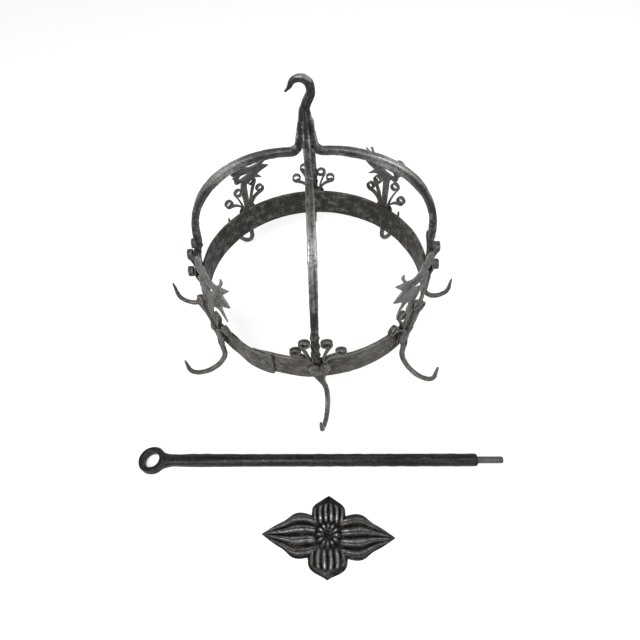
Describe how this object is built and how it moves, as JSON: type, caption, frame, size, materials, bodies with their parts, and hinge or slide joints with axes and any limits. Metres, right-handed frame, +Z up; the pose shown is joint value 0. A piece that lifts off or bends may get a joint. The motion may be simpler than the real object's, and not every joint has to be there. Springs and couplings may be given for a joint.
{
  "type": "hanging kitchen crown",
  "caption": "Wrought-iron hanging pot crown: lapped hoop with arched arms, swan hook, heart-plate pot hooks, scroll sprays and sheet birds, with its hanging rod and ceiling rosette.",
  "frame": {"origin": "on the floor under the middle of the crown's hoop, where the hooks stand", "axes": "+Z up along the crown's axis, +Y from the rod and rosette in front towards the rear of the crown, +X to the right as pictured"},
  "size_m": [0.529, 0.7106, 0.4094],
  "materials": {
    "wrought_iron": "dark grey hammered iron, worn lighter on the edges and arm tops",
    "rod_iron": "near-black waxed forged bar with worn streaks",
    "stud_steel": "dull cut thread",
    "rosette_iron": "near-black cast iron, satin on the ribs and brown in the grooves"
  },
  "bodies": {
    "crown": {"ring_band": "wrought_iron", "lap_rivet": "wrought_iron", "swan_hook": "wrought_iron", "arm_rivets": "wrought_iron", "bird_rivets": "wrought_iron", "arm_front": "wrought_iron", "arm_right": "wrought_iron", "arm_rear": "wrought_iron", "arm_left": "wrought_iron", "bird_front_right": "wrought_iron", "bird_rear_right": "wrought_iron", "bird_rear_left": "wrought_iron", "bird_front_left": "wrought_iron", "hook_front": "wrought_iron", "hook_right": "wrought_iron", "hook_rear": "wrought_iron", "hook_left": "wrought_iron", "hook_front_right": "wrought_iron", "hook_rear_right": "wrought_iron", "hook_rear_left": "wrought_iron", "hook_front_left": "wrought_iron", "spray_front": "wrought_iron", "spray_right": "wrought_iron", "spray_rear": "wrought_iron", "spray_left": "wrought_iron", "spray_front_right": "wrought_iron", "spray_rear_right": "wrought_iron", "spray_rear_left": "wrought_iron", "spray_front_left": "wrought_iron"},
    "hanger_rod": {"hanger_rod": "rod_iron", "rod_stud": "stud_steel"},
    "rosette": {"rosette": "rosette_iron"}
  },
  "joints": [
    {"name": "rod_lift", "type": "slide", "parent": "crown", "child": "hanger_rod", "axis": [0, 0, 1], "range_m": [0, 0.42]},
    {"name": "rosette_lift", "type": "slide", "parent": "crown", "child": "rosette", "axis": [0, 0, 1], "range_m": [0, 0.42]}
  ]
}
